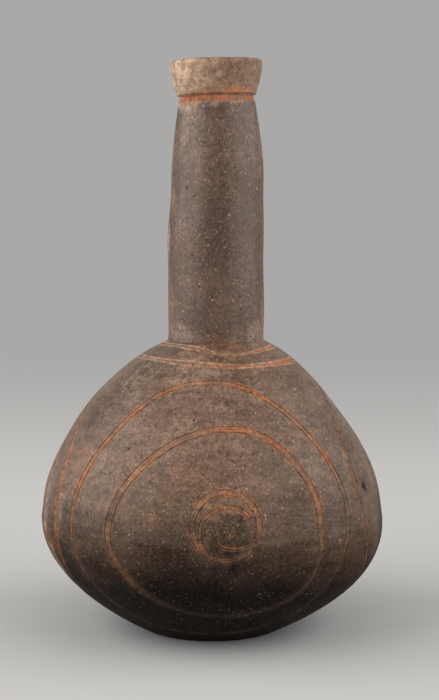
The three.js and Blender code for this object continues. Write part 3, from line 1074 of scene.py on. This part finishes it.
def strip(name, p, off, spacing, red, seed, worn_lines=0.0, ring=True, replaced=(), bold=1.0):
    """An engraved band on the body. off is how far outside the outer line a point lies."""
    out = outward(p)
    outside = beyond_band(off, spacing)
    waver = 0.14 * layered(p, 7.0, seed, 2)
    apart = waver + 0.12 * noise(p, 3.5, seed + 2)
    width = bold * LINE_WIDTH * (1 + 0.4 * layered(p, 8.0, seed + 14, 2))
    first = scored(off, waver, width) * (0.75 + 0.25 * noise(p, 4.0, seed + 1))
    second = scored(off + spacing, apart, width) * (0.75 + 0.3 * noise(p, 5.0, seed + 3))
    between = smoothstep(-outside, 0.0, 0.25)
    extra = scored(off + spacing / 2, 0.5 * noise(p, 8.0, seed + 4))
    extra = 0.6 * extra * smoothstep(noise(p, 9.0, seed + 5), 0.1, 0.5) * between
    cut = np.maximum(np.maximum(first, second), extra)
    near = np.minimum(np.abs(off), np.abs(off + spacing))
    flank = np.exp(-(((near - FLANK_AT) / FLANK_WIDTH) ** 2))
    streak = noise(p + out * (11 * off)[..., None], 5.0, seed + 12)

    patchy = 0.9 + 0.5 * layered(p, 6.0, seed + 6, 3) + 0.5 * streak
    smeared = np.exp(-((np.maximum(outside, 0) / SMEAR_REACH) ** 2)) * (1 - between)
    pigment = np.clip(red * patchy * (0.6 * between + 0.6 * flank + 0.35 * smeared), 0, 1)
    thick = np.clip(1.5 + 0.6 * layered(p, 5.0, seed + 10, 2), 0, 1.3)
    bright = worn_lines * np.exp(-((near / WORN_REACH) ** 2)) * thick
    kept = 0.75 * smoothstep(red, -0.02, 0.05) + 0.25 * smoothstep(red, 0.05, 0.3)
    fade = (1 - worn_lines) * kept
    # Painted shade in and beside the engraved lines, broken up and faded where the lines are worn
    # pale; it becomes the cut mark
    shadows = [np.clip(0.55 + 0.95 * layered(p, 9.0, seed + k, 4), 0.05, 1.0) * fade
               for k in (9, 19)]
    shade = [0.75 * scored(off, waver, SHADE_WIDTH * width),
             0.75 * scored(off + spacing, apart, SHADE_WIDTH * width)]
    dark = np.maximum(np.maximum(shade[0], first) * shadows[0],
                      np.maximum(shade[1], second) * shadows[1])
    marks = clay_marks(p)
    marks["pale"] = np.maximum(marks["pale"], bright)
    marks["cut"] = np.maximum(dark, extra * shadows[0])
    marks["pigment"] = pigment * np.maximum(1 - 0.7 * bright, 0)
    marks["near_line"] = closeness(outside)

    level = swell(p) - LINE_DEPTH * cut * kept - SUNK * between
    level = level + FLANK_HEIGHT * flank + STREAK_HEIGHT * streak
    steady = shaped(p + out * level[..., None])
    dive = DIVE * smoothstep(outside, DIVE_FROM, STRIP_EDGE)
    top = shaped(p + out * (level - dive)[..., None])
    bottom = shaped(p + out * (level - dive - STRIP_BODY)[..., None])
    closed_strip(name, top, bottom, grid_normals(steady, ring), marks, ring, replaced)


def offsets(spacing):
    return steps(-spacing - STRIP_EDGE, STRIP_EDGE, STRIP_STEP)[::-1, None]


def circle_strip(panel, number, index):
    """One circle of a panel. Its rows run inwards, so that its faces look out."""
    _, spacing, red = panel.circles[index]
    off = offsets(spacing)
    around = int(2 * math.pi * panel.radius(index, 0.0) / (3.2 * STRIP_STEP))
    bearing = np.linspace(0, 360, around, endpoint=False)[None, :] + 0 * off
    p = panel.on_surface(panel.radius(index, bearing) + off, bearing)
    strip(f"panel_{number}_circle_{index + 1}", p, off + 0 * bearing, spacing,
          through_round(red, bearing), 50 + panel.seed + 11 * index, bold=1.0 if index else BOLD)


def scroll_strip(panel, number, k):
    """One arm of a panel's scroll, a little below the circle that it runs into."""
    path, spacing, red = SCROLL_LINES[k]
    first, last = path[0] - path[1], path[-1] - path[-2]
    path = np.concatenate([[path[0] + first * 3], path, [path[-1] + last * 3]])
    off = offsets(spacing)
    lanes = np.stack([offset_line(path, -o) for o in off[:, 0]])
    reach, bearing = compass(lanes)
    p = panel.on_surface(reach, bearing) - 0.02 * panel.out
    share = np.linspace(0, 1, lanes.shape[1])
    amount = np.interp(share, np.linspace(0, 1, len(red)), red)[None, :]
    strip(f"panel_{number}_scroll_{k + 1}", p, off + 0 * reach, spacing, amount,
          90 + panel.seed + k, ring=False, bold=BOLD)


def shoulder_strip(name, band, seed, replaced):
    """A band round the shoulder. Its rows run upwards."""
    upper, lower, red = band
    angles = np.linspace(-180, 180, COLUMNS, endpoint=False)[None, :]
    top, bottom = arc_at(through_round(upper, angles)), arc_at(through_round(lower, angles))
    share = np.linspace(0, 1, int(4.2 / STRIP_STEP / 1.6))[:, None]
    off = lerp(bottom - top - STRIP_EDGE, STRIP_EDGE + 0 * top, share)
    profile = body_curve.at(np.minimum(top + off, body_curve.total - 0.01))
    p = polar(profile[..., 0], np.radians(angles), profile[..., 1])
    strip(name, p, off, top - bottom, through_round(red, angles), seed, 0.85, True, replaced)


def groove_strip():
    """The red packed against the groove's floor, highest in its lower half."""
    angles = np.linspace(0, 2 * math.pi, NECK_COLUMNS, endpoint=False)[None, :]
    share = np.linspace(0, 1, 16)[:, None] + 0 * angles
    z = lerp(GROOVE_FOOT - 0.25, GROOVE_FOOT + 2.5, share)
    r = GROOVE_RADIUS + 0.6 * (1 - share**3) - 0.25 * (1 - smoothstep(share, 0, 0.2))
    p = polar(r, angles, z)
    out = polar(1.0, angles, 0 * z)
    level = 0.14 * layered(p, 6.0, 91, 3) + 0.06 * noise(p, 1.2, 95)
    top = shaped(p + out * level[..., None])
    bottom = shaped(p - out * 0.9)
    packed = np.clip(0.6 + 0.7 * layered(p, 7.0, 97, 3), 0.15, 1)
    # The cut mark at the top of the fill is painted shade under the collar's lower edge
    marks = {"cut": 0.5 * smoothstep(share, 0.8, 1.0), "pigment": packed}
    normals = grid_normals(top, True)
    closed_strip("groove_pigment_fill", top, bottom, normals, marks, True, ("groove_pigment",))


for number, panel in enumerate(PANELS, 1):
    for index in range(len(panel.circles)):
        circle_strip(panel, number, index)
    for k in range(len(SCROLL)):
        scroll_strip(panel, number, k)
shoulder_strip("lower_band_fill", SHOULDER_BANDS[0], 70, ("lower_band_pigment",))
shoulder_strip("upper_band_fill", SHOULDER_BANDS[1], 78, ("upper_band_pigment",))
groove_strip()


# Studio


SKY_LIGHT = (0.3, 0.295, 0.29)
HORIZON = (0.4, 0.395, 0.39)
FLOOR = (0.78, 0.77, 0.75)
SOFTBOX_SIZE = (2.1, 1.5)
SOFTBOX_AIM = (0, 0, 0.12)


def soft_light(name, place, radiance):
    """A soft box of a given radiance, not seen by the camera."""
    light = bpy.data.lights.new(name, "AREA")
    light.shape = "RECTANGLE"
    light.size, light.size_y = SOFTBOX_SIZE
    light.energy = radiance * math.pi * math.prod(SOFTBOX_SIZE)
    lamp = placed(name, light)
    lamp.location = place
    sight = Vector(SOFTBOX_AIM) - Vector(place)
    lamp.rotation_euler = sight.to_track_quat("-Z", "Y").to_euler()
    lamp.visible_camera = False


def studio():
    mesh = bpy.data.meshes.new("floor")
    corners = [(x, y, 0) for x, y in product((-30, 30), repeat=2)]
    mesh.from_pydata(corners, [], [(0, 2, 3, 1)])
    material, tree, shader = new_material("pale_floor")
    feed(tree, shader, {"Base Color": FLOOR, "Roughness": 0.9})
    place = node(tree, "TexCoord", {}).outputs["Object"]
    away = vectors(tree, "LENGTH", {0: place}).outputs["Value"]
    distant = ramp(tree, maths(tree, "LOGARITHM", away, 10.0), -0.55, 0.35)
    distant = times(tree, distant, node(tree, "LightPath", {}).outputs["Is Camera Ray"])
    haze = node(tree, "Emission", {"Color": HORIZON})
    both = node(tree, "MixShader", {0: distant, 1: shader.outputs[0], 2: haze.outputs[0]})
    feed(tree, tree.nodes["Material Output"], {"Surface": both.outputs[0]})
    mesh.materials.append(material)
    placed("floor", mesh)
    world = bpy.context.scene.world = bpy.data.worlds.new("studio")
    world.use_nodes = True
    tree = world.node_tree
    rays = node(tree, "LightPath", {}).outputs
    shown = maths(tree, "MAXIMUM", rays["Is Glossy Ray"], rays["Is Transmission Ray"])
    shown = maths(tree, "MAXIMUM", rays["Is Camera Ray"], shown)
    feed(tree, tree.nodes["Background"], {"Color": mix(tree, shown, SKY_LIGHT, HORIZON)})
    soft_light("softbox_left", (-1.2, -0.32, 0.75), 1.75)
    soft_light("softbox_right", (1.2, -0.3, 0.75), 1.35)


def camera():
    """Eye a little under the collar, tipped down so that the horizon lies above the middle."""
    focal_pixels = 1500.0
    long_side = 700.0
    horizon_above_middle = 140.0
    mm_per_pixel = 0.4255
    axis_left_of_middle = 7.5
    eye_height = 178
    data = bpy.data.cameras.new("camera")
    data.sensor_width = 36.0
    data.lens = focal_pixels / long_side * data.sensor_width
    eye = placed("camera", data)
    eye.location = (axis_left_of_middle * mm_per_pixel * MM, -focal_pixels * mm_per_pixel * MM,
                    eye_height * MM)
    eye.rotation_euler = (math.pi / 2 - math.atan(horizon_above_middle / focal_pixels), 0, 0)
    bpy.context.scene.camera = eye
    bpy.context.scene.view_settings.view_transform = "Standard"


studio()
camera()
